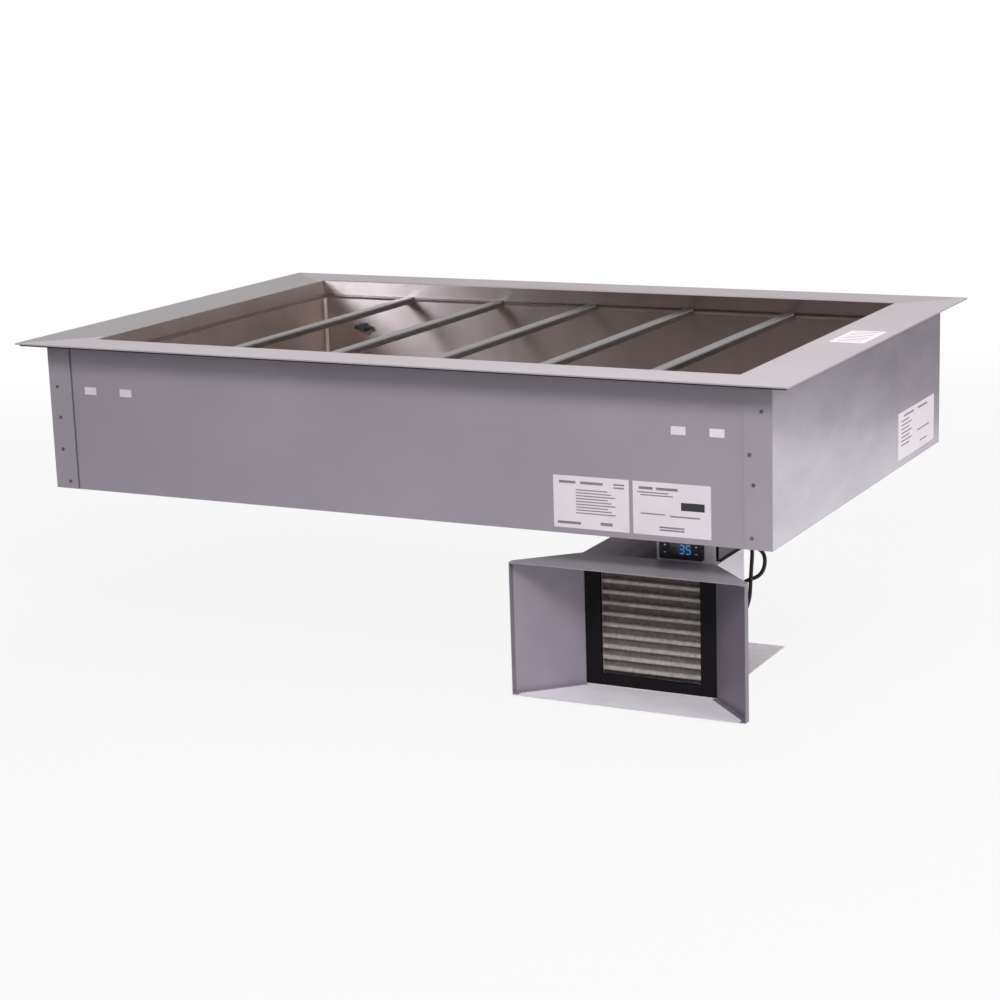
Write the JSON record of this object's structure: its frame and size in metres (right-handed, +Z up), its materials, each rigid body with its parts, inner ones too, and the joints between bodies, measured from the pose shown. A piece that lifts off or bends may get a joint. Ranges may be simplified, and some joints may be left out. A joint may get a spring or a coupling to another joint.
{
  "type": "drop-in refrigerated cold well",
  "caption": "Open-top drop-in cold well with pan bars across its basin, a wide counter flange, an insulated metal case and a condensing unit with an air shroud hung below one end.",
  "frame": {"origin": "centre of the counter seat: the underside of the seal tape below the flange, which lies on the counter top, at the middle of the opening", "axes": "+X to the right seen from the front, towards the end with the condensing unit; the front faces -Y; +Z up, out of the well"},
  "size_m": [1.3, 0.858, 0.4971],
  "materials": {
    "stainless": "satin",
    "galvanised": "satin",
    "black_metal": "satin",
    "fins": "satin",
    "copper": "satin",
    "foam": "matte",
    "rubber": "matte",
    "pale_plastic": "matte",
    "dark_plastic": "matte",
    "key_plastic": "matte",
    "display": "gloss",
    "label": "satin"
  },
  "bodies": {
    "well": {"blank_labels": "label", "cable_glands": "dark_plastic", "capillary_tube": "copper", "case_back_panel": "galvanised", "case_bottom_panel": "galvanised", "case_front_panel": "stainless", "case_left_panel": "stainless", "case_right_panel": "stainless", "case_rivets": "stainless", "compressor_cable": "rubber", "compressor_grommets": "rubber", "compressor_shell": "black_metal", "condenser_end_plates": "galvanised", "condenser_fins": "fins", "condenser_frame": "black_metal", "condenser_housing": "galvanised", "condenser_tube": "copper", "controller_bracket": "galvanised", "controller_case": "dark_plastic", "controller_lens": "display", "discharge_line": "copper", "drain_fitting": "stainless", "drain_locknut": "dark_plastic", "electrical_box": "galvanised", "evaporator_coil": "copper", "fan_cable": "rubber", "fan_motor": "black_metal", "fan_orifice": "galvanised", "fan_pedestal": "galvanised", "filter_drier": "copper", "flange_rim": "stainless", "flange_seal": "rubber", "foam_insulation": "foam", "foam_port_covers": "label", "rear_hangers": "galvanised", "sensor_clip": "pale_plastic", "sensor_probe": "dark_plastic", "shroud_bottom_panel": "stainless", "shroud_left_panel": "stainless", "shroud_right_panel": "stainless", "shroud_top_panel": "stainless", "suction_line": "copper", "terminal_cover": "dark_plastic", "thermal_breaker": "pale_plastic", "unit_bolts": "galvanised", "unit_tray": "galvanised", "well_liner": "stainless"},
    "fan": {"fan_blade": "dark_plastic"},
    "strainer": {"drain_strainer": "stainless"},
    "bar_1": {"divider_bar_1": "stainless"},
    "bar_2": {"divider_bar_2": "stainless"},
    "bar_3": {"divider_bar_3": "stainless"},
    "bar_4": {"divider_bar_4": "stainless"},
    "bar_5": {"divider_bar_5": "stainless"},
    "key_1": {"controller_key_1": "key_plastic"},
    "key_2": {"controller_key_2": "key_plastic"},
    "key_3": {"controller_key_3": "key_plastic"},
    "key_4": {"controller_key_4": "key_plastic"}
  },
  "joints": [
    {"name": "fan_spin", "type": "hinge", "parent": "well", "child": "fan", "pos_m": [0.387, -0.2438, -0.3874], "axis": [0, 1, 0], "continuous": true},
    {"name": "strainer_lift", "type": "slide", "parent": "well", "child": "strainer", "axis": [0, 0, 1], "range_m": [0, 0.06]},
    {"name": "bar_1_lift", "type": "slide", "parent": "well", "child": "bar_1", "axis": [0, 0, 1], "range_m": [0, 0.08]},
    {"name": "bar_2_lift", "type": "slide", "parent": "well", "child": "bar_2", "axis": [0, 0, 1], "range_m": [0, 0.08]},
    {"name": "bar_3_lift", "type": "slide", "parent": "well", "child": "bar_3", "axis": [0, 0, 1], "range_m": [0, 0.08]},
    {"name": "bar_4_lift", "type": "slide", "parent": "well", "child": "bar_4", "axis": [0, 0, 1], "range_m": [0, 0.08]},
    {"name": "bar_5_lift", "type": "slide", "parent": "well", "child": "bar_5", "axis": [0, 0, 1], "range_m": [0, 0.08]},
    {"name": "key_1_press", "type": "slide", "parent": "well", "child": "key_1", "axis": [0, 1, 0], "range_m": [0, 0.0008], "stiffness_N_per_m": 1500},
    {"name": "key_2_press", "type": "slide", "parent": "well", "child": "key_2", "axis": [0, 1, 0], "range_m": [0, 0.0008], "stiffness_N_per_m": 1500},
    {"name": "key_3_press", "type": "slide", "parent": "well", "child": "key_3", "axis": [0, 1, 0], "range_m": [0, 0.0008], "stiffness_N_per_m": 1500},
    {"name": "key_4_press", "type": "slide", "parent": "well", "child": "key_4", "axis": [0, 1, 0], "range_m": [0, 0.0008], "stiffness_N_per_m": 1500}
  ]
}
